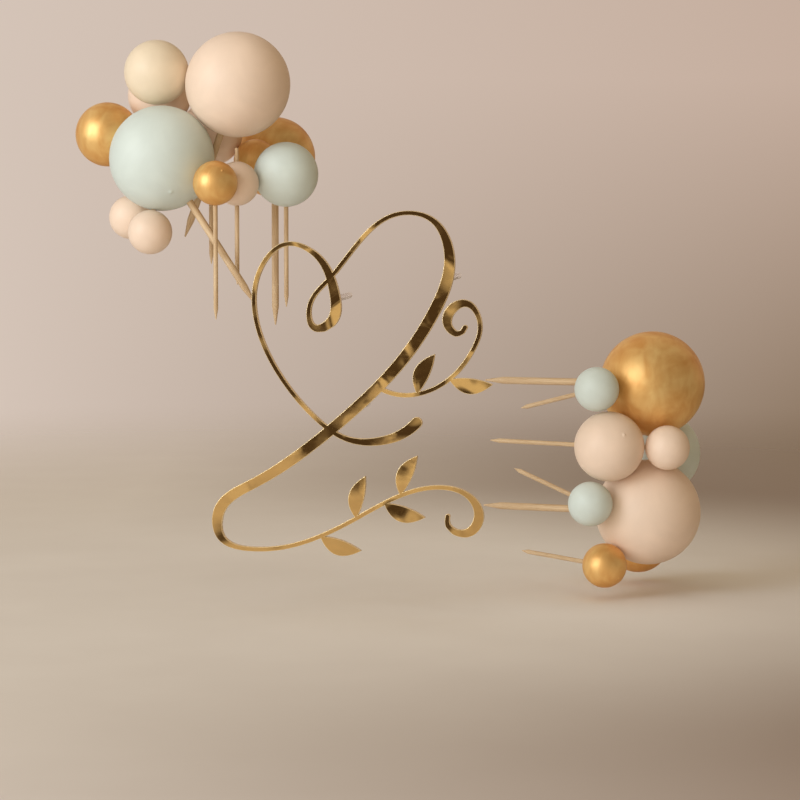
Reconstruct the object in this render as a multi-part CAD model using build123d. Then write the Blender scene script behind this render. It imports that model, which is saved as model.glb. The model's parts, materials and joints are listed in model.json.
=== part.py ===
from build123d import *
import math
import os

# A cake topper set in three members, placed as they are worn: balls heaped over the rim of the top, a second
# heap of balls low on the right-hand side, and a mirror-gold flourish on the front. Millimetres, +Z up.
# The origin is on the axis that the members stand about, level with their foot, and the front looks along -Y.

# Upright cylinder that every member is seated on
CAKE_RADIUS = 104.0
CAKE_HEIGHT = 184.0

# Finished diameters of the five sizes of ball, and the daylight between two that rest together
EXTRA_LARGE_BALL = 50.0
LARGE_BALL = 40.0
MEDIUM_LARGE_BALL = 33.0
MEDIUM_BALL = 31.0
SMALL_BALL = 21.0
BALL_GAP = 0.3

# Seats of the two balls that start the heaps: bearings in degrees from +X towards +Y, the top ball's
# place past the rim as shares of its radius, the side ball's gap to its seat and height above the foot
TOP_BEARING = -161.5
TOP_OUT_SHARE = 0.378
TOP_UP_SHARE = 0.934
SIDE_BEARING = -20.0
SIDE_GAP = 2.8
SIDE_HEIGHT = 39.3

# Skewers anchor the heavy balls, and cocktail sticks anchor the rest and link ball to ball. A rod that is an
# anchor tapers to its butt inside the ball. A skewer that passes the ball below it keeps a gap there, and its
# roll is the turn in degrees, about the line between the two balls, of its way past
SKEWER_DIAMETER = 3.5
SKEWER_LENGTH = 85.0
SKEWER_POINT = 9.0
STICK_DIAMETER = 2.2
STICK_LENGTH = 65.0
STICK_POINT = 5.0
LINK_BITE = 9.0
ROD_CHAMFER = 0.3
BUTT_SHARE = 0.8
POINT_FLAT_SHARE = 0.2
PASS_GAP = 1.0
PASS_ROLL = -40.0

# Holes in the balls: how far a ball is pushed onto its own stick, as a share of its diameter,
# the play round and beyond the wood, and the pucker at the mouth
GRIP_SHARE = 0.55
HOLE_PLAY = 0.05
HOLE_END_PLAY = 0.5
MOUTH_CHAMFER = 0.5
CUT_OVERRUN = 1.0

# Flourish: one sheet of mirror acrylic, set against the front and cut as a pen would draw it
FLOURISH_WIDTH = 130.0
FLOURISH_HEIGHT = 158.0
FLOURISH_THICKNESS = 3.0
FLOURISH_BEARING = -99.2
FLOURISH_FOOT = 27.0
FLOURISH_GAP = 0.5
HAIRLINE = 2.0
SWELL = 5.4
PEN_SLANT = 62.0
PEN_PRESS = 1.3
PEN_EASES = 10
STATION_STEP = 2.5
SPAN_STEPS = 16
LEAF_LENGTH = 20.0
LEAF_WIDTH = 7.0
LEAF_BELLY_SHARE = 0.42
LEAF_BEND_SHARE = 0.1

# Pegs bonded into shallow seats behind the flourish's broad strokes
PEG_DIAMETER = 3.0
PEG_LENGTH = 40.0
PEG_POINT = 6.0
PEG_SEAT = 1.0
SEAT_PLAY = 0.05

# Balls set against another: diameter, the ball that each one leans on, and the bearing and the rise,
# in degrees, of the way to its centre
LEANING_BALLS = {
    "top_peach_large": (EXTRA_LARGE_BALL, "top_mint_large", 4.5, 44.0),
    "top_cream": (MEDIUM_BALL, "top_peach_large", 167.0, 8.5),
    "top_peach_rear": (MEDIUM_BALL, "top_cream", 92.0, -19.0),
    "top_gold_outer": (MEDIUM_BALL, "top_mint_large", 136.5, 16.5),
    "top_peach_hanging_rear": (SMALL_BALL, "top_mint_large", 137.5, -52.0),
    "top_peach_hanging_front": (SMALL_BALL, "top_mint_large", -131.0, -77.0),
    "top_gold_front": (SMALL_BALL, "top_mint_large", -38.0, -19.0),
    "top_peach_front": (SMALL_BALL, "top_gold_front", 65.0, -1.0),
    "top_mint_inner": (MEDIUM_BALL, "top_peach_front", 28.0, 9.5),
    "top_gold_tucked": (SMALL_BALL, "top_mint_inner", 128.0, 14.5),
    "top_gold_rear": (LARGE_BALL, "top_gold_tucked", 74.5, 3.0),
    "top_peach_inner": (MEDIUM_BALL, "top_gold_tucked", 165.0, 30.0),
    "side_peach_middle": (MEDIUM_LARGE_BALL, "side_peach_large", -140.5, 52.0),
    "side_gold_large": (EXTRA_LARGE_BALL, "side_peach_middle", 45.0, 42.0),
    "side_mint_upper": (SMALL_BALL, "side_gold_large", -141.5, -1.5),
    "side_peach_outer": (SMALL_BALL, "side_peach_middle", -2.0, -1.0),
    "side_mint_rear": (LARGE_BALL, "side_peach_large", 77.0, 33.0),
    "side_mint_lower": (SMALL_BALL, "side_peach_large", -145.0, 10.0),
    "side_gold_foot": (SMALL_BALL, "side_peach_large", -143.5, -41.0),
    "side_gold_rear": (MEDIUM_BALL, "side_peach_large", 92.5, -27.0),
}

# Balls with an anchor of their own: bearing and rise of the way that its point goes in, the balls
# whose skewer passes the one that they lean on, and how far a butt stands out of the top of its ball
SKEWERED = {
    "top_mint_large": (-15.0, -56.0),
    "top_gold_rear": (0.0, -90.0),
    "side_peach_large": (160.0, 0.0),
    "side_gold_large": (163.0, 0.0),
}
PASSING = ("top_peach_large",)
STUCK = {
    "top_gold_front": (0.0, -90.0),
    "top_peach_front": (0.0, -90.0),
    "top_mint_inner": (0.0, -90.0),
    "top_peach_inner": (0.0, -90.0),
    "side_peach_middle": (150.0, 0.0),
    "side_mint_upper": (122.0, -12.0),
    "side_mint_lower": (122.0, 10.0),
    "side_gold_foot": (125.0, 0.0),
}
PROUD_BUTTS = {"top_peach_front": 6.5}

# Pen lines of the flourish, through points in shares of its width and height
HEART_LINE_SHARES = (
    (0.735, 0.385), (0.69, 0.355), (0.60, 0.33), (0.49, 0.335), (0.37, 0.40), (0.24, 0.53), (0.165, 0.68),
    (0.18, 0.82), (0.275, 0.895), (0.385, 0.86), (0.445, 0.755), (0.43, 0.67), (0.375, 0.655), (0.355, 0.71),
    (0.42, 0.79), (0.53, 0.90), (0.66, 0.98), (0.79, 0.965), (0.85, 0.86), (0.80, 0.71), (0.67, 0.55),
    (0.50, 0.41), (0.33, 0.295), (0.15, 0.20), (0.03, 0.12), (0.035, 0.045), (0.16, 0.01), (0.34, 0.035),
    (0.52, 0.105), (0.68, 0.175), (0.82, 0.20), (0.92, 0.175), (0.955, 0.12), (0.92, 0.072),
    (0.86, 0.078), (0.845, 0.117),
)
TENDRIL_LINE_SHARES = (
    (0.60, 0.485), (0.72, 0.465), (0.84, 0.505), (0.935, 0.60), (0.955, 0.68), (0.91, 0.728), (0.855, 0.708),
    (0.845, 0.665), (0.875, 0.642), (0.905, 0.66),
)
# Leaves: share of the pen line's length where each one starts, and its lean from the line in degrees
HEART_LEAF_SHARES = ((0.83, -42.0), (0.859, 48.0), (0.882, -46.0), (0.895, 44.0))
TENDRIL_LEAF_SHARES = ((0.18, 55.0), (0.34, -45.0))
# Pegs: name, and share of the heart line's length
PEG_SHARES = {"upper": 0.285, "right": 0.495, "middle": 0.61, "lower": 0.7}


def toward(bearing, rise):
    """Unit vector of a bearing from +X towards +Y and a rise above the horizontal, in degrees."""
    turn, tilt = math.radians(bearing), math.radians(rise)
    return Vector(math.cos(tilt) * math.cos(turn), math.cos(tilt) * math.sin(turn), math.sin(tilt))


def place_balls():
    """Centre and radius of every ball: the two that start the heaps, then each one against its neighbour."""
    radius = EXTRA_LARGE_BALL / 2
    top_height = Vector(0, 0, CAKE_HEIGHT + TOP_UP_SHARE * radius)
    top = toward(TOP_BEARING, 0) * (CAKE_RADIUS + TOP_OUT_SHARE * radius) + top_height
    side = toward(SIDE_BEARING, 0) * (CAKE_RADIUS + SIDE_GAP + radius) + Vector(0, 0, SIDE_HEIGHT)
    places = {"top_mint_large": (top, radius), "side_peach_large": (side, radius)}
    for name, (diameter, carrier, bearing, rise) in LEANING_BALLS.items():
        centre, carrier_radius = places[carrier]
        reach = carrier_radius + BALL_GAP + diameter / 2
        places[name] = (centre + toward(bearing, rise) * reach, diameter / 2)
    return places


def turned(profile):
    """Solid of revolution about Z of (radius, height) points, with a face of its own for every run."""
    return revolve(Plane.XZ * make_face(Polyline(*profile, close=True)), Axis.Z, clean=False)


def pointed_rod(diameter, held, length, point):
    """Round rod along +Z: butt at the origin, a stretch that is held and tapers to it, free end and point."""
    radius = diameter / 2
    butt = radius * BUTT_SHARE
    flat = radius * POINT_FLAT_SHARE
    return turned([(0, 0), (butt - ROD_CHAMFER, 0), (butt, ROD_CHAMFER), (radius, held),
                   (radius, length - point), (flat, length), (0, length)])


def link_rod(diameter, length, point):
    """Piece of stick along +Z with a blunted point at both ends."""
    radius = diameter / 2
    flat = radius * POINT_FLAT_SHARE
    return turned([(0, 0), (flat, 0), (radius, point), (radius, length - point), (flat, length), (0, length)])


def pick_hole(diameter, end_diameter, depth):
    """Cutter of a stick's hole: mouth at the origin, going down -Z, with the pucker where the wood goes in."""
    radius = diameter / 2 + HOLE_PLAY
    end = end_diameter / 2 + HOLE_PLAY
    pucker = radius + MOUTH_CHAMFER + CUT_OVERRUN
    return turned([(0, -depth - HOLE_END_PLAY), (end, -depth - HOLE_END_PLAY), (radius, -MOUTH_CHAMFER),
                   (pucker, CUT_OVERRUN), (0, CUT_OVERRUN)])


def grip(ball_radius):
    """How far a ball is pushed onto its own stick."""
    return 2 * ball_radius * GRIP_SHARE


def held_length(name, radius):
    """Length of a ball's own stick from its butt to where its free end leaves the ball."""
    if name in PROUD_BUTTS:
        return 2 * radius + PROUD_BUTTS[name]
    return grip(radius)


def way_past(centre, other, other_radius):
    """Way of a skewer from a ball past another one below it."""
    line = other - centre
    swing = math.degrees(math.asin((other_radius + PASS_GAP + SKEWER_DIAMETER / 2) / line.length))
    level = Axis((0, 0, 0), line.cross(Vector(0, 0, 1)))
    return line.rotate(level, -swing).rotate(Axis((0, 0, 0), line), PASS_ROLL).normalized()


def wood_ways(places):
    """Ways that the points of every skewer, and of every stick, go in."""
    skewers = {name: toward(*angles) for name, angles in SKEWERED.items()}
    for name in PASSING:
        carrier = LEANING_BALLS[name][1]
        skewers[name] = way_past(places[name][0], *places[carrier])
    sticks = {name: toward(*angles) for name, angles in STUCK.items()}
    return skewers, sticks


def make_wood(places):
    """Every skewer, stick and link, and the holes that they need in the balls."""
    wood = {}
    holes = {name: [] for name in places}
    skewers, sticks = wood_ways(places)
    anchors = [(skewers, "skewer", SKEWER_DIAMETER, SKEWER_LENGTH, SKEWER_POINT),
               (sticks, "stick", STICK_DIAMETER, STICK_LENGTH, STICK_POINT)]
    for ways, kind, diameter, length, point in anchors:
        for name, way in ways.items():
            centre, radius = places[name]
            held = held_length(name, radius)
            mouth = centre + way * radius
            butt = mouth - way * held
            wood[f"{name}_{kind}"] = Plane(butt, z_dir=way) * pointed_rod(diameter, held, length, point)
            holes[name].append(Plane(mouth, z_dir=way) * pick_hole(diameter, diameter * BUTT_SHARE, held))
    for name, (_, carrier, bearing, rise) in LEANING_BALLS.items():
        if name in skewers or name in sticks:
            continue
        centre, radius = places[name]
        carrier_centre, carrier_radius = places[carrier]
        way = toward(bearing, rise)
        carrier_mouth = carrier_centre + way * carrier_radius
        mouth = centre - way * radius
        length = LINK_BITE + BALL_GAP + grip(radius)
        wood[f"{name}_link"] = (Plane(carrier_mouth - way * LINK_BITE, z_dir=way)
                                * link_rod(STICK_DIAMETER, length, STICK_POINT))
        link_holes = [(carrier, carrier_mouth, way, LINK_BITE), (name, mouth, -way, grip(radius))]
        for ball, spot, out, depth in link_holes:
            holes[ball].append(Plane(spot, z_dir=out) * pick_hole(STICK_DIAMETER, STICK_DIAMETER, depth))
    return wood, holes


def make_ball(centre, radius, holes):
    """Solid ball with its stick holes."""
    return Pos(centre) * Sphere(radius) - holes


def pen_line(shares):
    """Centre line of a pen stroke, flat on XY, with the flourish's lower left corner at the origin."""
    return Spline(*[(across * FLOURISH_WIDTH, up * FLOURISH_HEIGHT) for across, up in shares])


def pen_width(heading):
    """Width of a stroke that heads this way: a hairline going up, swelling as the slanted pen comes down."""
    slant = toward(PEN_SLANT, 0)
    press = max(0, -heading.dot(slant)) ** PEN_PRESS
    return HAIRLINE + (SWELL - HAIRLINE) * press


def eased(widths):
    """Widths along a stroke, evened out as the hand's pressure comes and goes."""
    for _ in range(PEN_EASES):
        ends = [widths[0], *widths, widths[-1]]
        widths = [(before + 2 * width + after) / 4 for before, width, after in zip(ends, widths, ends[2:])]
    return widths


def edge_through(points, first, last):
    """Smooth edge through some of a row of points, which heads at its ends as the whole row does."""
    ends = [points[min(k + 1, len(points) - 1)] - points[max(k - 1, 0)] for k in (first, last)]
    return Spline(*points[first:last + 1], tangents=ends)


def stroke_faces(line):
    """Faces of a pen stroke along a line, cut into spans so that none of them crosses itself."""
    steps = round(line.length / STATION_STEP)
    stations = [k / steps for k in range(steps + 1)]
    widths = eased([pen_width(line % station) for station in stations])
    left, right = [], []
    for station, width in zip(stations, widths):
        half = (line % station).rotate(Axis.Z, 90) * (width / 2)
        left.append(line @ station + half)
        right.append(line @ station - half)
    faces = []
    for first in range(0, steps, SPAN_STEPS):
        last = min(first + SPAN_STEPS, steps)
        start, end = Line(right[first], left[first]), Line(left[last], right[last])
        if first == 0:
            start = round_end(right[first], left[first], line % 0 * -1)
        if last == steps:
            end = round_end(left[last], right[last], line % 1)
        sides = [edge_through(left, first, last), edge_through(right, first, last)]
        faces.append(make_face([start, sides[0], end, sides[1]]))
    return faces


def round_end(one, other, heading):
    """Half-round end of a stroke."""
    half = (one - other).length / 2
    return ThreePointArc(one, (one + other) / 2 + heading * half, other)


def leaf_face(line, share, lean):
    """Leaf that grows out of a pen line, bellied near its foot and bent towards its tip."""
    middle = LEAF_BELLY_SHARE * LEAF_LENGTH
    bend = math.copysign(LEAF_BEND_SHARE * LEAF_LENGTH, lean)
    upper = Spline((0, 0), (middle, bend + LEAF_WIDTH / 2), (LEAF_LENGTH, 0))
    lower = Spline((LEAF_LENGTH, 0), (middle, bend - LEAF_WIDTH / 2), (0, 0))
    heading = line % share
    turn = math.degrees(math.atan2(heading.Y, heading.X)) + lean
    return Pos(line @ share) * Rot(Z=turn) * make_face([upper, lower])


def make_flourish():
    """Flourish and its pegs, set against the front."""
    heart, tendril = pen_line(HEART_LINE_SHARES), pen_line(TENDRIL_LINE_SHARES)
    faces = stroke_faces(heart) + stroke_faces(tendril)
    faces += [leaf_face(heart, share, lean) for share, lean in HEART_LEAF_SHARES]
    faces += [leaf_face(tendril, share, lean) for share, lean in TENDRIL_LEAF_SHARES]
    seats = [Pos(heart @ share) * Circle(PEG_DIAMETER / 2 + SEAT_PLAY) for share in PEG_SHARES.values()]
    with BuildPart() as plate:
        for face in faces:
            extrude(face, amount=FLOURISH_THICKNESS, clean=False)
        for seat in seats:
            extrude(seat, amount=PEG_SEAT, clean=False, mode=Mode.SUBTRACT)
    outward = toward(FLOURISH_BEARING, 0)
    along = outward.rotate(Axis.Z, 90)
    corner = outward * (CAKE_RADIUS + FLOURISH_GAP) - along * (FLOURISH_WIDTH / 2) + Vector(0, 0, FLOURISH_FOOT)
    back = Plane(corner, x_dir=along, z_dir=outward)
    pieces = {"flourish_plate": back * plate.part}
    peg = Pos(Z=PEG_SEAT) * Rot(X=180) * pointed_rod(PEG_DIAMETER, PEG_SEAT, PEG_LENGTH, PEG_POINT)
    for name, share in PEG_SHARES.items():
        pieces[f"flourish_peg_{name}"] = back * Pos(heart @ share) * peg
    return pieces


def main():
    places = place_balls()
    wood, holes = make_wood(places)
    pieces = {f"{name}_ball": make_ball(*places[name], holes[name]) for name in places}
    pieces |= wood
    pieces |= make_flourish()
    os.makedirs("parts", exist_ok=True)
    for name, piece in pieces.items():
        export_step(piece, f"parts/{name}.step")


main()
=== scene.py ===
import bmesh
import bpy
import json
import math
import numpy as np
from mathutils import Matrix, Vector, noise

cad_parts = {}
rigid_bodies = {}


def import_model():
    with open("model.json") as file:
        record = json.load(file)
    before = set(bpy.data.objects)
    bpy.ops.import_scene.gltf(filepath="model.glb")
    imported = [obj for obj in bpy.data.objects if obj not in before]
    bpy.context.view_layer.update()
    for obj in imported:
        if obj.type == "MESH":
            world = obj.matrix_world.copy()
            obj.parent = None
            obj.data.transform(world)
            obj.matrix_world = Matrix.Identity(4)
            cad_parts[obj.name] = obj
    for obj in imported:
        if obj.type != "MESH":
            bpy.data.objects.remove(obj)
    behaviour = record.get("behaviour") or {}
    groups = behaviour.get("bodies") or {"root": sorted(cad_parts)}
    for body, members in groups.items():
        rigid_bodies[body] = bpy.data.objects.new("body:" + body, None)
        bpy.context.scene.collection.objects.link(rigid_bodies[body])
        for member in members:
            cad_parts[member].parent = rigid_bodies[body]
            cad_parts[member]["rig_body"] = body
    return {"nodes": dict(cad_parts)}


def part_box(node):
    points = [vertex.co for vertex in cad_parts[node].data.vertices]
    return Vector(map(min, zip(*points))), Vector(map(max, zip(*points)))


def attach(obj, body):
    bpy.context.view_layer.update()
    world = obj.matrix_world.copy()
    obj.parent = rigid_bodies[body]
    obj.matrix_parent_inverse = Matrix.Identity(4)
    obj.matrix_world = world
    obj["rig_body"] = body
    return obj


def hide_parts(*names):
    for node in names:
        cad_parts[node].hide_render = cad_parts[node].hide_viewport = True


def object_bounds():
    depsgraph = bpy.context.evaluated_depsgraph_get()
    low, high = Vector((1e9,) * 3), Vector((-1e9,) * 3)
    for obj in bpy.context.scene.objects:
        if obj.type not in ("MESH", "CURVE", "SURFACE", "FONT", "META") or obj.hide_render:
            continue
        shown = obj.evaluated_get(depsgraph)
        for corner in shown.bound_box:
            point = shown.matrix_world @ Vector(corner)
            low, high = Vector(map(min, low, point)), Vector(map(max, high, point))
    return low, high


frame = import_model()
CAD_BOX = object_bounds()

# Metres throughout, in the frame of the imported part: +Z up, front along -Y
MM = 0.001

# Camera of the photograph: place, tilt below the horizon in degrees, and lens on a full-frame sensor
CAMERA_PLACE = Vector((5.6 * MM, -1.4, 0.204))
CAMERA_TILT = 4.69
CAMERA_LENS = 128.7
CAMERA_SENSOR = 36.0

# Lamps, all soft: name, way to the lamp, distance, side, watts, colour, and whether metal mirrors it
KEY_WAY = Vector((-0.76, -0.58, 0.28)).normalized()
FRONT_WAY = Vector((-0.2, -0.97, 0.0)).normalized()
OVERHEAD_WAY = Vector((-0.25, 0.10, 1.0)).normalized()
LAMPS = (
    ("key", KEY_WAY, 3.0, 2.0, 55.0, (0.88, 0.945, 1.0), True),
    ("front", FRONT_WAY, 2.5, 1.6, 24.0, (1.0, 0.95, 0.88), False),
    ("overhead", OVERHEAD_WAY, 2.5, 2.4, 12.0, (1.0, 0.96, 0.90), False),
)

# Noises are given as features per unit of their coordinates, octaves and distortion.
# Most values of a noise lie in this range.
NOISE_MIDDLE = (0.3, 0.7)

# Warm light from all round, and what polished metal sees: dark surroundings with lit patches, which glow
# near the way to the key lamp and give way to the backdrop behind the part
AMBIENT = (0.32, 0.225, 0.115)
AROUND_DARK = (0.075, 0.052, 0.034)
AROUND_LIT = (1.0, 0.88, 0.70)
AROUND_PATCHES = (12.0, 2.0, 0.4)
PATCH_REACH = (0.5, 0.68)
PATCH_SHARES = (0.0, 0.7)
KEY_GLOW_REACH = (0.82, 0.99)
BEHIND_REACH = (0.0, 0.6)

# Backdrop with painted shade to the right and a painted shadow low on the right: its colours, and the parts
# of the way across and up over which they change
BACKDROP_LEFT = (0.66, 0.55, 0.475)
BACKDROP_RIGHT = (0.56, 0.425, 0.345)
BACKDROP_SHADED = (0.25, 0.175, 0.115)
BACKDROP_REACH = (-0.14, 0.14)
SHADE_TOP_REACH = (-0.10, 0.03)
SHADE_FOOT_REACH = (-0.13, -0.25)

# Pale floor with a painted pool of light in the middle and painted shadow to the right, which fades into
# the backdrop
FLOOR_RADIUS = 1.1
FLOOR_SIDES = 96
FLOOR_FADE_REACH = (0.30, FLOOR_RADIUS)
FLOOR_LIT_POOL = (0.90, 0.88, 0.87)
FLOOR_LEFT = (0.88, 0.85, 0.83)
FLOOR_RIGHT_SHADOW = (0.38, 0.31, 0.27)
FLOOR_LIT_POOL_REACH = (0.11, 0.46)
FLOOR_SHADOW_REACH = (-0.16, 0.16)
FLOOR_MOTTLE = (14.0, 3.0, 0.0)
FLOOR_MOTTLE_SHARES = (0.0, 0.06)
FLOOR_ROUGHNESS = 0.8
FLOOR_SPECULAR = 0.1

# Reading the frame: digits kept of points, levels, stations and ways, and how near an end or a level is
POINT_DIGITS = 7
LEVEL_DIGITS = 5
STATION_DIGITS = 6
WAY_DIGITS = 2
END_REACH = 1.0 * MM
LEVEL_REACH = 0.01 * MM

# Balls: fineness of the mesh, unevenness, skin, brush strokes, and the puckers and lips round sticks
BALL_SPLITS = 6
DETAIL_SPLITS = 2
DETAIL_REACH = 2.6
BALL_SEEDS = (3.7, 1.9, 5.3)
WARP_SHARE = 0.003
WARP_WAVES = 1.3
SKIN_DEPTH = 0.03 * MM
SKIN_PITCH = 2.6 * MM
STROKE_DEPTH = 0.04 * MM
STROKE_PITCH = 4.0 * MM
STROKE_STRETCH = 2.4
STROKE_SWIRL = 0.9
STROKE_SEED = 7
PUCKER_DEPTH = 0.5 * MM
LIP_HEIGHT = 0.10 * MM
LIP_SHARE = 1.7
LIP_STEEPNESS = 2.0

# Nibs in the paint: ball, place across and up its face as shares of its radius, and width
NIB_HEIGHT = 0.45 * MM
NIBS = (
    ("top_mint_large_ball", 0.23, -0.63, 2.0 * MM),
    ("side_peach_middle_ball", 0.36, 0.41, 1.3 * MM),
    ("side_peach_middle_ball", -0.80, -0.52, 0.9 * MM),
    ("side_gold_foot_ball", 0.60, -0.50, 1.1 * MM),
    ("top_gold_front_ball", 0.36, 0.55, 0.9 * MM),
)

# Wood: fineness of the turning, and depth, number across and length of the fibres
WOOD_SIDES = 28
WOOD_STEP = 1.0 * MM
FIBRE_DEPTH = 0.06 * MM
FIBRE_DEPTH_SHARE = 0.25
FIBRES_ACROSS = 7.0
FIBRE_LENGTH = 14 * MM
FIBRE_SEED = 3

# Cut sheet: depth of its front, closest points and sharpest fold of its outline, and its softened edge.
# A turn past the sharp angle is a corner, and a face that looks more to the front than the share is flat.
FRONT_DEPTH = 1.0 * MM
OUTLINE_GAP = 0.12 * MM
OUTLINE_STEPS = 4
FOLD_ANGLE = 165
SHARP_ANGLE = 35.0
PLATE_BEVEL = 0.2 * MM
PLATE_BEVEL_STEPS = 2
FLAT_SHARE = 0.99

# Finishes: colours are linear, a stretch scales the coordinates of a noise, a bump is strength and depth

# Satin paint on the balls
MINT = (0.675, 0.765, 0.735)
PEACH = (0.88, 0.705, 0.57)
CREAM = (0.86, 0.735, 0.56)
PAINT_COVER = (55.0, 3.0, 0.6)
PAINT_TINTS = (0.94, 1.03)
PAINT_SKIN = (950.0, 4.0, 0.0)
PAINT_ROLLING = (160.0, 3.0, 0.8)
PAINT_ROLLING_STRETCH = (1, 1, 4)
PAINT_ROUGHNESS = (0.42, 0.58)
PAINT_BUMP = (0.10, 0.15 * MM)
PAINT_SPECULAR = 0.38
PAINT_COAT = 0.06
PAINT_COAT_ROUGHNESS = 0.35

# Gold paint on the balls
GOLD_DEEP = (0.80, 0.41, 0.115)
GOLD_PALE = (1.0, 0.69, 0.28)
GOLD_RIM = (0.55, 0.33, 0.13)
GOLD_SWIRL = (30.0, 1.0, 0.0)
GOLD_SWIRL_SHARE = 0.02
GOLD_DABS = (170.0, 3.5, 0.5)
GOLD_DABS_STRETCH = (1.0, 1.0, 0.5)
GOLD_DABS_SHARE = 0.4
GOLD_CLOUDS = (48.0, 3.0, 0.8)
GOLD_LAY_REACH = (0.36, 0.64)
GOLD_GRAIN = (2200.0, 2.0, 0.0)
GOLD_GRAIN_SHARE = 0.08
GOLD_METALLIC = 0.6
GOLD_ROUGHNESS = (0.52, 0.42)
GOLD_BUMP = (0.14, 0.25 * MM)
GOLD_COAT = 0.4
GOLD_COAT_ROUGHNESS = 0.33

# Bamboo of the skewers, sticks and links
BAMBOO_DEEP = (0.50, 0.335, 0.18)
BAMBOO_PALE = (0.80, 0.63, 0.42)
BAMBOO_FIBRES = (2600.0, 3.0, 0.0)
BAMBOO_FIBRES_STRETCH = (1, 1, 0.02)
BAMBOO_FIBRES_REACH = (0.35, 0.65)
BAMBOO_FIBRES_SHARES = (0.45, 1.0)
BAMBOO_BANDS = (420.0, 4.0, 0.5)
BAMBOO_BANDS_STRETCH = (1, 1, 0.12)
BAMBOO_BLOOM = (90.0, 3.0, 0.0)
BAMBOO_BLOOM_REACH = (0.4, 0.8)
BAMBOO_BLOOM_SHARES = (0.0, 0.25)
BAMBOO_ROUGHNESS = (0.48, 0.68)
BAMBOO_BUMP = (0.35, 0.12 * MM)
BAMBOO_SPECULAR = 0.4

# Mirror on the front of the sheet
MIRROR = (0.90, 0.60, 0.24)
MIRROR_TINT = 0.9
MIRROR_WAVES = (26.0, 1.0, 0.0)
MIRROR_SMEARS = (60.0, 5.0, 1.5)
MIRROR_SMEARS_STRETCH = (1, 3, 1)
MIRROR_SMEARS_REACH = (0.35, 0.7)
MIRROR_DULL_REACH = (0.45, 0.75)
MIRROR_ROUGHNESS = (0.035, 0.11)
MIRROR_BUMP = (0.7, 4.0 * MM)

# Cut edge of the sheet
EDGE = (0.92, 0.70, 0.36)
EDGE_TINT = 0.82
EDGE_SHADE = (120.0, 3.0, 0.0)
EDGE_LINES = (2400.0, 2.0, 0.0)
EDGE_LINES_STRETCH = (1, 1, 0.03)
EDGE_METALLIC = 0.35
EDGE_ROUGHNESS = (0.16, 0.34)
EDGE_BUMP = (0.25, 0.1 * MM)

# Coat on the back of the sheet
BACK = (0.36, 0.33, 0.30)
BACK_TINT = 0.9
BACK_SPECKLE = (700.0, 4.0, 0.0)
BACK_ROUGHNESS = (0.5, 0.66)
BACK_BUMP = (0.15, 0.1 * MM)

# Clear acrylic of the pegs
CLEAR = (0.97, 0.96, 0.93)
CLEAR_LINES = (1500.0, 2.0, 0.0)
CLEAR_LINES_STRETCH = (1, 0.05, 1)
CLEAR_ROUGHNESS = (0.03, 0.10)
CLEAR_BUMP = (0.05, 0.05 * MM)
CLEAR_TRANSMISSION = 0.95
CLEAR_IOR = 1.49

# Sockets of a mix node for each type of data: its two inputs and its result
MIX_SOCKETS = {"FLOAT": (2, 3, 0), "VECTOR": (4, 5, 1), "RGBA": (6, 7, 2)}

BALLS = sorted(name for name in frame["nodes"] if name.endswith("_ball"))
RODS = sorted(name for name in frame["nodes"] if name.endswith(("_skewer", "_stick", "_link")))
PEGS = sorted(name for name in frame["nodes"] if name.startswith("flourish_peg"))


# Reading the frame

def points_of(mesh):
    """Vertices of a mesh, one in a row."""
    points = np.zeros(len(mesh.vertices) * 3)
    mesh.vertices.foreach_get("co", points)
    return points.reshape(-1, 3)


def ball_of(name):
    """Centre and radius of a ball."""
    low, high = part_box(name)
    return (low + high) / 2, max(high - low) / 2


def rod_of(name):
    """A rod's butt, its way from butt to point, and the radii along it, as distances and radii."""
    points = np.unique(points_of(frame["nodes"][name].data).round(POINT_DIGITS), axis=0)
    middle = points.mean(axis=0)
    way = np.linalg.svd(points - middle)[2][0]
    along = (points - middle) @ way
    off_axis = np.linalg.norm(points - middle - np.outer(along, way), axis=1)
    first, last = along.min(), along.max()
    if off_axis[along > last - END_REACH].max() > off_axis[along < first + END_REACH].max():
        way, along, first, last = -way, -along, -last, -first
    levels = np.unique(along.round(LEVEL_DIGITS))
    radii = [off_axis[abs(along - level) < LEVEL_REACH].max() for level in levels]
    return Vector(middle + way * first), Vector(way), levels - first, np.array(radii)


def stick_mouths():
    """For every ball, the ways from its centre to where wood goes in, and the radius of that wood."""
    mouths = {name: [] for name in BALLS}
    for rod in RODS:
        butt, way, levels, radii = rod_of(rod)
        for ball in BALLS:
            centre, radius = ball_of(ball)
            foot = (centre - butt).dot(way)
            if (centre - butt - way * foot).length > radii.max():
                continue
            for side in (-1, 1):
                reach = foot + side * radius
                if 0 < reach < levels[-1]:
                    mouths[ball].append((way * side, np.interp(reach, levels, radii)))
    return mouths


# Shader helpers

def plug(tree, socket, value):
    """Links a socket to an input, or sets the input to a colour, a way or a number."""
    if isinstance(value, bpy.types.NodeSocket):
        tree.links.new(value, socket)
    elif socket.type == "RGBA":
        socket.default_value = (*value, 1.0)
    else:
        socket.default_value = value


def add(tree, kind, inputs=None, **settings):
    """Node with its settings and inputs."""
    made = tree.nodes.new(kind)
    for name, value in settings.items():
        setattr(made, name, value)
    for name, value in (inputs or {}).items():
        plug(tree, made.inputs[name], value)
    return made


def own_coordinates(tree):
    """Coordinates of the piece itself."""
    return add(tree, "ShaderNodeTexCoord").outputs["Object"]


def stretched(tree, vector, stretch):
    """Vector scaled along each axis."""
    return add(tree, "ShaderNodeMapping", {"Vector": vector, "Scale": stretch}).outputs["Vector"]


def noise_at(tree, texture, vector, output="Fac"):
    """Noise at a vector."""
    scale, detail, distortion = texture
    inputs = {"Vector": vector, "Scale": scale, "Detail": detail, "Distortion": distortion}
    return add(tree, "ShaderNodeTexNoise", inputs).outputs[output]


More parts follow.
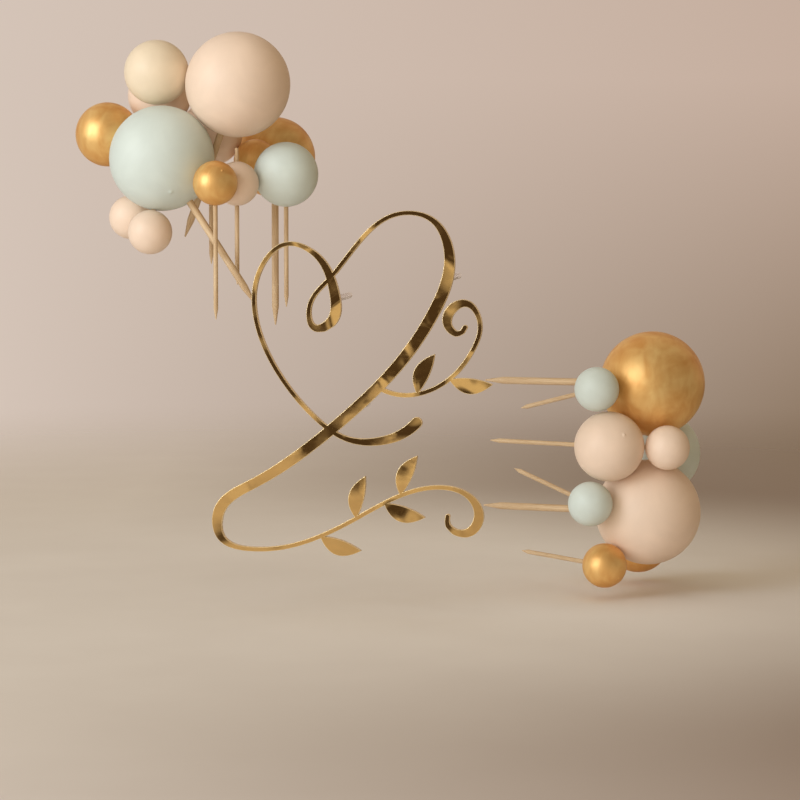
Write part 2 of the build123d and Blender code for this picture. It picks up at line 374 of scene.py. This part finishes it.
def noise_on(tree, texture, stretch=(1, 1, 1)):
    """Noise over a piece."""
    return noise_at(tree, texture, stretched(tree, own_coordinates(tree), stretch))


def spread(tree, value, reach, onto=(0.0, 1.0), easing="LINEAR"):
    """Value carried from one range to another, and held inside it."""
    low, high = reach
    onto_low, onto_high = onto
    inputs = {"Value": value, "From Min": low, "From Max": high, "To Min": onto_low, "To Max": onto_high}
    return add(tree, "ShaderNodeMapRange", inputs, interpolation_type=easing).outputs["Result"]


def blend(tree, factor, one, other, kind="RGBA"):
    """What lies between two colours, or between two values of another type."""
    first, second, result = MIX_SOCKETS[kind]
    inputs = {0: factor, first: one, second: other}
    return add(tree, "ShaderNodeMix", inputs, data_type=kind).outputs[result]


def reckon(tree, operation, *values):
    """Result of a sum with numbers."""
    return add(tree, "ShaderNodeMath", dict(enumerate(values)), operation=operation).outputs["Value"]


def bump_of(tree, height, bump):
    """Normal of a bump."""
    strength, depth = bump
    inputs = {"Height": height, "Strength": strength, "Distance": depth}
    return add(tree, "ShaderNodeBump", inputs).outputs["Normal"]


def tinted(colour, share):
    """Colour made darker or lighter by a share."""
    return tuple(min(1.0, channel * share) for channel in colour)


def new_material(name, build):
    """Material whose principled shader takes what build returns for its inputs."""
    material = bpy.data.materials.new(name)
    material.use_nodes = True
    tree = material.node_tree
    shader = tree.nodes["Principled BSDF"]
    for socket, value in build(tree).items():
        plug(tree, shader.inputs[socket], value)
    return material


# Materials

def satin_paint(colour):
    """Satin paint on a smooth foam ball: slightly uneven cover, faint rolling marks and a fine skin."""
    def build(tree):
        thin, full = (tinted(colour, tint) for tint in PAINT_TINTS)
        cover = noise_on(tree, PAINT_COVER)
        rolling = noise_on(tree, PAINT_ROLLING, PAINT_ROLLING_STRETCH)
        height = reckon(tree, "ADD", noise_on(tree, PAINT_SKIN), rolling)
        return {
            "Base Color": blend(tree, spread(tree, cover, NOISE_MIDDLE), thin, full),
            "Roughness": spread(tree, rolling, NOISE_MIDDLE, PAINT_ROUGHNESS),
            "Normal": bump_of(tree, height, PAINT_BUMP),
            "Specular IOR Level": PAINT_SPECULAR,
            "Coat Weight": PAINT_COAT,
            "Coat Roughness": PAINT_COAT_ROUGHNESS,
        }
    return build


def gold_paint(tree):
    """Metallic paint brushed on thinly: a satin cover with soft clouds and short dabs of the brush."""
    plain = own_coordinates(tree)
    bent = blend(tree, GOLD_SWIRL_SHARE, plain, noise_at(tree, GOLD_SWIRL, plain, "Color"), "VECTOR")
    dabs = noise_at(tree, GOLD_DABS, stretched(tree, bent, GOLD_DABS_STRETCH))
    clouds = noise_at(tree, GOLD_CLOUDS, bent)
    lay = blend(tree, GOLD_DABS_SHARE, clouds, dabs, "FLOAT")
    height = reckon(tree, "MULTIPLY_ADD", noise_at(tree, GOLD_GRAIN, plain), GOLD_GRAIN_SHARE, dabs)
    return {
        "Base Color": blend(tree, spread(tree, lay, GOLD_LAY_REACH), GOLD_DEEP, GOLD_PALE),
        "Metallic": GOLD_METALLIC,
        "Roughness": spread(tree, clouds, NOISE_MIDDLE, GOLD_ROUGHNESS),
        "Specular Tint": GOLD_RIM,
        "Normal": bump_of(tree, height, GOLD_BUMP),
        "Coat Weight": GOLD_COAT,
        "Coat Roughness": GOLD_COAT_ROUGHNESS,
    }


def bamboo(tree):
    """Split bamboo: long pale and brown fibres along the rod, and a faint bloom."""
    fibres = noise_on(tree, BAMBOO_FIBRES, BAMBOO_FIBRES_STRETCH)
    bands = noise_on(tree, BAMBOO_BANDS, BAMBOO_BANDS_STRETCH)
    banded = blend(tree, spread(tree, bands, NOISE_MIDDLE), BAMBOO_DEEP, BAMBOO_PALE)
    banded_share = spread(tree, fibres, BAMBOO_FIBRES_REACH, BAMBOO_FIBRES_SHARES)
    streaked = blend(tree, banded_share, BAMBOO_DEEP, banded)
    bloom_share = spread(tree, noise_on(tree, BAMBOO_BLOOM), BAMBOO_BLOOM_REACH, BAMBOO_BLOOM_SHARES)
    return {
        "Base Color": blend(tree, bloom_share, streaked, BAMBOO_PALE),
        "Roughness": spread(tree, fibres, NOISE_MIDDLE, BAMBOO_ROUGHNESS),
        "Normal": bump_of(tree, fibres, BAMBOO_BUMP),
        "Specular IOR Level": BAMBOO_SPECULAR,
    }


def mirror_face(tree):
    """Gold mirror of an acrylic sheet: a little wavy, with a few wiped smears."""
    smears = noise_on(tree, MIRROR_SMEARS, MIRROR_SMEARS_STRETCH)
    wiped = spread(tree, smears, MIRROR_SMEARS_REACH)
    return {
        "Base Color": blend(tree, wiped, tinted(MIRROR, MIRROR_TINT), MIRROR),
        "Metallic": 1.0,
        "Roughness": spread(tree, smears, MIRROR_DULL_REACH, MIRROR_ROUGHNESS),
        "Normal": bump_of(tree, noise_on(tree, MIRROR_WAVES), MIRROR_BUMP),
    }


def cut_edge(tree):
    """Laser-cut edge of the sheet: glossy amber with fine lines through its thickness."""
    lines = noise_on(tree, EDGE_LINES, EDGE_LINES_STRETCH)
    shade = spread(tree, noise_on(tree, EDGE_SHADE), NOISE_MIDDLE)
    return {
        "Base Color": blend(tree, shade, tinted(EDGE, EDGE_TINT), EDGE),
        "Metallic": EDGE_METALLIC,
        "Roughness": spread(tree, lines, NOISE_MIDDLE, EDGE_ROUGHNESS),
        "Normal": bump_of(tree, lines, EDGE_BUMP),
    }


def back_coat(tree):
    """Grey coat that guards the silvering on the back of the sheet."""
    speckle = noise_on(tree, BACK_SPECKLE)
    return {
        "Base Color": blend(tree, spread(tree, speckle, NOISE_MIDDLE), tinted(BACK, BACK_TINT), BACK),
        "Roughness": spread(tree, speckle, NOISE_MIDDLE, BACK_ROUGHNESS),
        "Normal": bump_of(tree, speckle, BACK_BUMP),
    }


def clear_acrylic(tree):
    """Extruded clear rod with faint draw lines."""
    lines = noise_on(tree, CLEAR_LINES, CLEAR_LINES_STRETCH)
    return {
        "Base Color": CLEAR,
        "Roughness": spread(tree, lines, NOISE_MIDDLE, CLEAR_ROUGHNESS),
        "Normal": bump_of(tree, lines, CLEAR_BUMP),
        "Transmission Weight": CLEAR_TRANSMISSION,
        "IOR": CLEAR_IOR,
    }


def from_middle(tree):
    """Distance of a spot on the floor from its middle."""
    spot = own_coordinates(tree)
    return add(tree, "ShaderNodeVectorMath", {0: spot}, operation="LENGTH").outputs["Value"]


def floor_paint(tree):
    """Pale matte floor with a faint mottle, a painted pool of light in the middle and painted shadow to the
    right.
    """
    spot = own_coordinates(tree)
    across = add(tree, "ShaderNodeSeparateXYZ", {0: spot}).outputs["X"]
    # painted shadow: the floor darkens from left to right
    outer = blend(tree, spread(tree, across, FLOOR_SHADOW_REACH), FLOOR_LEFT, FLOOR_RIGHT_SHADOW)
    # painted pool of light: the middle of the floor is lighter
    shaded_outer_share = spread(tree, from_middle(tree), FLOOR_LIT_POOL_REACH, easing="SMOOTHSTEP")
    plain = blend(tree, shaded_outer_share, FLOOR_LIT_POOL, outer)
    mottle_share = spread(tree, noise_at(tree, FLOOR_MOTTLE, spot), NOISE_MIDDLE, FLOOR_MOTTLE_SHARES)
    return {
        "Base Color": blend(tree, mottle_share, plain, FLOOR_RIGHT_SHADOW),
        "Roughness": FLOOR_ROUGHNESS,
        "Specular IOR Level": FLOOR_SPECULAR,
    }


PAINTS = {
    "mint": new_material("mint_paint", satin_paint(MINT)),
    "peach": new_material("peach_paint", satin_paint(PEACH)),
    "cream": new_material("cream_paint", satin_paint(CREAM)),
    "gold": new_material("gold_paint", gold_paint),
}
WOOD = new_material("bamboo", bamboo)
PLATE_FINISHES = (
    new_material("mirror_face", mirror_face),
    new_material("cut_edge", cut_edge),
    new_material("back_coat", back_coat),
)
MIRROR_INDEX, EDGE_INDEX, BACK_INDEX = range(len(PLATE_FINISHES))
ACRYLIC = new_material("clear_acrylic", clear_acrylic)


# Pieces

def put(name, data):
    """New object in the scene."""
    made = bpy.data.objects.new(name, data)
    bpy.context.scene.collection.objects.link(made)
    return made


def stand_in(name, mesh, place, materials, node):
    """Piece that stands for a CAD node and rides on its body."""
    piece = put(name, mesh)
    piece.matrix_world = place
    mesh.polygons.foreach_set("use_smooth", [True] * len(mesh.polygons))
    for material in materials:
        mesh.materials.append(material)
    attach(piece, frame["nodes"][node]["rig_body"])
    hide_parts(node)


def colour_of(ball):
    """Word for a ball's paint, which is in its name."""
    return next(word for word in PAINTS if f"_{word}_" in ball)


def noise_of(points):
    """Smooth noise at every row of a table of points."""
    return np.array([noise.noise(Vector(point)) for point in points])


def unit_sphere(details):
    """Sphere of radius 1, split finer round each detail, given as a way and the angle that it spans."""
    grid = bmesh.new()
    bmesh.ops.create_icosphere(grid, subdivisions=BALL_SPLITS, radius=1.0)
    for split in range(DETAIL_SPLITS):
        near = set()
        for way, angle in details:
            limit = math.cos(DETAIL_REACH * angle / (split + 1))
            near.update(edge for edge in grid.edges if all(v.co.dot(way) > limit for v in edge.verts))
        bmesh.ops.subdivide_edges(grid, edges=sorted(near, key=lambda edge: edge.index), cuts=1)
        for vertex in grid.verts:
            vertex.co.normalize()
        grid.edges.index_update()
    bmesh.ops.triangulate(grid, faces=grid.faces)
    mesh = bpy.data.meshes.new("ball")
    grid.to_mesh(mesh)
    grid.free()
    return mesh


def stroke_relief(ways, radius, seed):
    """Relief of brush strokes that swirl over a ball, from -1 to 1."""
    bend = np.array([noise.noise_vector(Vector(way) * STROKE_SWIRL + seed) for way in ways])
    bent = ways + bend * STROKE_SWIRL / 2
    across = radius / STROKE_PITCH
    return noise_of(bent * (across, across, across / STROKE_STRETCH) + np.array(seed))


def make_ball(name, number, mouths):
    """Painted ball: not quite true, with a skin, strokes in the gold, nibs, and a lip round every stick."""
    centre, radius = ball_of(name)
    colour = colour_of(name)
    nibs = [(Vector((across, -math.sqrt(1 - across ** 2 - up ** 2), up)), width)
            for ball, across, up, width in NIBS if ball == name]
    details = [(way, LIP_SHARE * rod / radius) for way, rod in mouths]
    details += [(way, width / radius) for way, width in nibs]
    mesh = unit_sphere(details)
    ways = points_of(mesh)

    def distances(way):
        return radius * np.arccos(np.clip(ways @ np.array(way), -1, 1))

    seed = Vector([number * step for step in BALL_SEEDS])
    rise = radius * WARP_SHARE * (noise_of(ways * WARP_WAVES + np.array(seed)) - 1) / 2
    rise += SKIN_DEPTH * noise_of(ways * (radius / SKIN_PITCH) - np.array(seed))
    if colour == "gold":
        rise += STROKE_DEPTH * stroke_relief(ways, radius, seed)
    for way, rod in mouths:
        away = distances(way) / rod
        rise -= PUCKER_DEPTH * np.exp(-away ** 2)
        rise += LIP_HEIGHT * np.exp(-((away - LIP_SHARE) * LIP_STEEPNESS) ** 2)
    for way, width in nibs:
        rise += NIB_HEIGHT * np.exp(-(distances(way) / (width / 2)) ** 2)
    mesh.vertices.foreach_set("co", (ways * (radius + rise)[:, None]).ravel())
    place = Matrix.Translation(centre)
    stand_in(name + "_painted", mesh, place, [PAINTS[colour]], name)


def make_rod(name, number):
    """Bamboo rod with the profile of its CAD node and fibres that stand a little apart."""
    butt, way, levels, radii = rod_of(name)
    steps = np.arange(0, levels[-1], WOOD_STEP)
    stations = np.unique(np.concatenate([levels, steps]).round(STATION_DIGITS))
    angles = np.linspace(0, 2 * math.pi, WOOD_SIDES, endpoint=False)
    points, faces = [], []
    for station in stations:
        radius = np.interp(station, levels, radii)
        deepest = min(FIBRE_DEPTH, radius * FIBRE_DEPTH_SHARE)
        grain_level = Vector((0, 0, station / FIBRE_LENGTH + number * FIBRE_SEED))
        for angle in angles:
            around = Vector((math.cos(angle), math.sin(angle), 0))
            depth = deepest * (1 + noise.noise(around * (FIBRES_ACROSS / 2) + grain_level)) / 2
            points.append(around * (radius - depth) + Vector((0, 0, station)))
    for ring in range(len(stations) - 1):
        for side in range(WOOD_SIDES):
            following = (side + 1) % WOOD_SIDES
            low, high = ring * WOOD_SIDES, (ring + 1) * WOOD_SIDES
            faces.append((low + side, low + following, high + following, high + side))
    last = (len(stations) - 1) * WOOD_SIDES
    faces.append(tuple(reversed(range(WOOD_SIDES))))
    faces.append(tuple(range(last, last + WOOD_SIDES)))
    mesh = bpy.data.meshes.new(name)
    mesh.from_pydata(points, [], faces)
    place = Matrix.Translation(butt) @ way.to_track_quat("Z", "Y").to_matrix().to_4x4()
    stand_in(name + "_wood", mesh, place, [WOOD], name)
    mesh.set_sharp_from_angle(angle=math.radians(SHARP_ANGLE))


def plate_facing(mesh):
    """Way that the plate's mirror looks: outwards, away from the frame's upright axis."""
    sums = {}
    for face in mesh.polygons:
        key = tuple(round(part, WAY_DIGITS) for part in face.normal)
        sums[key] = sums.get(key, Vector()) + face.normal * face.area
    broadest = sorted(sums.values(), key=lambda way: way.length)[-2:]
    middle = sum((vertex.co for vertex in mesh.vertices), Vector()) / len(mesh.vertices)
    outward = max(broadest, key=lambda way: way.dot(middle))
    return Vector((outward.x, outward.y, 0)).normalized()


def outline_loops(mesh, outward):
    """Closed rows of points round the plate's front face."""
    def spot(index):
        return tuple(round(part, POINT_DIGITS) for part in mesh.vertices[index].co)

    edges = set()
    front = max(vertex.co.dot(outward) for vertex in mesh.vertices) - FRONT_DEPTH
    for face in mesh.polygons:
        corners = [spot(index) for index in face.vertices]
        if all(Vector(corner).dot(outward) > front for corner in corners):
            edges.update(zip(corners, corners[1:] + corners[:1]))
    following = {}
    for start, end in sorted(edges):
        if (end, start) not in edges:
            following.setdefault(start, []).append(end)
    loops = []
    while following:
        start = min(following)
        loop = [start]
        while True:
            ends = following[loop[-1]]
            step = ends.pop()
            if not ends:
                del following[loop[-1]]
            if step == start:
                break
            loop.append(step)
        loops.append(loop)
    return loops


def turns(row):
    """Turn of a closed row of points at each of them, in degrees."""
    ways = [point - row[number - 1] for number, point in enumerate(row)]
    return [math.degrees(way.angle(after, 0)) for way, after in zip(ways, ways[1:] + ways[:1])]


def thinned(loop):
    """Closed row of points without close neighbours and hairline folds."""
    row = list(loop)
    spare = True
    while spare:
        steps = [(point - row[number - 1]).length for number, point in enumerate(row)]
        spare = [
            number
            for number, (step, turn) in enumerate(zip(steps, turns(row)))
            if step < OUTLINE_GAP or turn > FOLD_ANGLE
        ]
        if spare:
            del row[spare[0]]
    return row


def cut_sheet(rows, thickness):
    """Flat sheet cut along closed rows of points, with softened edges."""
    curve = bpy.data.curves.new("flourish", "CURVE")
    curve.dimensions = "2D"
    curve.fill_mode = "BOTH"
    curve.extrude = thickness / 2 - PLATE_BEVEL
    curve.bevel_depth = PLATE_BEVEL
    curve.bevel_resolution = PLATE_BEVEL_STEPS
    curve.resolution_u = OUTLINE_STEPS
    curve.offset = -PLATE_BEVEL
    for row in rows:
        spline = curve.splines.new("BEZIER")
        spline.bezier_points.add(len(row) - 1)
        for point, corner, turn in zip(spline.bezier_points, row, turns(row)):
            kind = "VECTOR" if turn > SHARP_ANGLE else "AUTO"
            point.co = corner
            point.handle_left_type = kind
            point.handle_right_type = kind
        spline.use_cyclic_u = True
    drawn = put("flourish_outline", curve)
    bpy.context.view_layer.update()
    mesh = bpy.data.meshes.new_from_object(drawn.evaluated_get(bpy.context.evaluated_depsgraph_get()))
    bpy.data.objects.remove(drawn)
    mesh.materials.clear()
    return mesh


def make_plate():
    """Mirror plate cut from one sheet to the outline of its CAD node."""
    source = frame["nodes"]["flourish_plate"].data
    outward = plate_facing(source)
    along = Vector((0, 0, 1)).cross(outward)
    deep = [vertex.co.dot(outward) for vertex in source.vertices]
    thickness = max(deep) - min(deep)
    rows = [
        thinned([Vector((Vector(corner).dot(along), corner[2], 0)) for corner in loop])
        for loop in outline_loops(source, outward)
    ]
    mesh = cut_sheet(rows, thickness)
    axes = Matrix((along, (0, 0, 1), outward)).transposed().to_4x4()
    place = Matrix.Translation(outward * (min(deep) + thickness / 2)) @ axes
    stand_in("flourish_mirror", mesh, place, PLATE_FINISHES, "flourish_plate")
    for face in mesh.polygons:
        face.material_index = EDGE_INDEX
        if abs(face.normal.z) > FLAT_SHARE:
            face.material_index = MIRROR_INDEX if face.normal.z > 0 else BACK_INDEX
    mesh.set_sharp_from_angle(angle=math.radians(SHARP_ANGLE))


# Stage

def make_floor():
    """Pale floor whose rim fades into the backdrop."""
    disc = bmesh.new()
    bmesh.ops.create_circle(disc, cap_ends=True, segments=FLOOR_SIDES, radius=FLOOR_RADIUS)
    mesh = bpy.data.meshes.new("floor")
    disc.to_mesh(mesh)
    disc.free()
    material = new_material("floor", floor_paint)
    tree = material.node_tree
    painted = tree.nodes["Principled BSDF"].outputs["BSDF"]
    clear = add(tree, "ShaderNodeBsdfTransparent").outputs["BSDF"]
    clear_share = spread(tree, from_middle(tree), FLOOR_FADE_REACH, easing="SMOOTHSTEP")
    faded = add(tree, "ShaderNodeMixShader", {0: clear_share, 1: painted, 2: clear}).outputs["Shader"]
    plug(tree, tree.nodes["Material Output"].inputs["Surface"], faded)
    mesh.materials.append(material)
    floor = put("floor", mesh)


def light_world():
    """World: even soft light, a backdrop with painted shade and shadow on its right, and for metal dim
    surroundings with lit patches.
    """
    world = bpy.data.worlds.new("surroundings")
    bpy.context.scene.world = world
    world.use_nodes = True
    tree = world.node_tree
    way = add(tree, "ShaderNodeTexCoord").outputs["Generated"]
    path = add(tree, "ShaderNodeLightPath").outputs
    axes = add(tree, "ShaderNodeSeparateXYZ", {0: way}).outputs

    # painted shade: the backdrop darkens towards the right, and a painted shadow lies low on the right
    above = spread(tree, axes["Z"], SHADE_TOP_REACH)
    below = spread(tree, axes["Z"], SHADE_FOOT_REACH)
    right = blend(tree, reckon(tree, "MAXIMUM", above, below), BACKDROP_SHADED, BACKDROP_RIGHT)
    backdrop = blend(tree, spread(tree, axes["X"], BACKDROP_REACH), BACKDROP_LEFT, right)

    nearness = add(tree, "ShaderNodeVectorMath", {0: way, 1: KEY_WAY}, operation="DOT_PRODUCT")
    key_glow = spread(tree, nearness.outputs["Value"], KEY_GLOW_REACH)
    patches = spread(tree, noise_at(tree, AROUND_PATCHES, way), PATCH_REACH, PATCH_SHARES)
    lit_share = reckon(tree, "MAXIMUM", patches, key_glow)
    before = blend(tree, lit_share, AROUND_DARK, AROUND_LIT)
    mirrored = blend(tree, spread(tree, axes["Y"], BEHIND_REACH), before, backdrop)

    unseen = blend(tree, path["Is Glossy Ray"], AMBIENT, mirrored)
    straight = reckon(tree, "MAXIMUM", path["Is Camera Ray"], path["Is Transmission Ray"])
    plug(tree, tree.nodes["Background"].inputs["Color"], blend(tree, straight, unseen, backdrop))


def add_lamp(name, way, distance, side, watts, colour, mirrored):
    """Square soft lamp that looks at the middle of the part."""
    low, high = CAD_BOX
    lamp = bpy.data.lights.new(name, "AREA")
    lamp.shape = "SQUARE"
    lamp.size = side
    lamp.energy = watts
    lamp.color = colour
    stand = put(name, lamp)
    stand.visible_camera = False
    stand.visible_glossy = mirrored
    stand.location = (low + high) / 2 + way * distance
    stand.rotation_euler = way.to_track_quat("Z", "Y").to_euler()


def add_camera():
    """Camera of the photograph."""
    camera = bpy.data.cameras.new("camera")
    camera.lens = CAMERA_LENS
    camera.sensor_width = CAMERA_SENSOR
    stand = put("camera", camera)
    stand.location = CAMERA_PLACE
    stand.rotation_euler = (math.radians(90 - CAMERA_TILT), 0, 0)
    bpy.context.scene.camera = stand


noise.seed_set(STROKE_SEED)
mouths_of = stick_mouths()
for ball_number, ball_name in enumerate(BALLS):
    make_ball(ball_name, ball_number, mouths_of[ball_name])
for rod_number, rod_name in enumerate(RODS):
    make_rod(rod_name, rod_number)
make_plate()
for peg_name in PEGS:
    frame["nodes"][peg_name].data.materials.clear()
    frame["nodes"][peg_name].data.materials.append(ACRYLIC)

make_floor()
light_world()
for lamp_row in LAMPS:
    add_lamp(*lamp_row)
add_camera()
bpy.context.scene.view_settings.view_transform = "Standard"
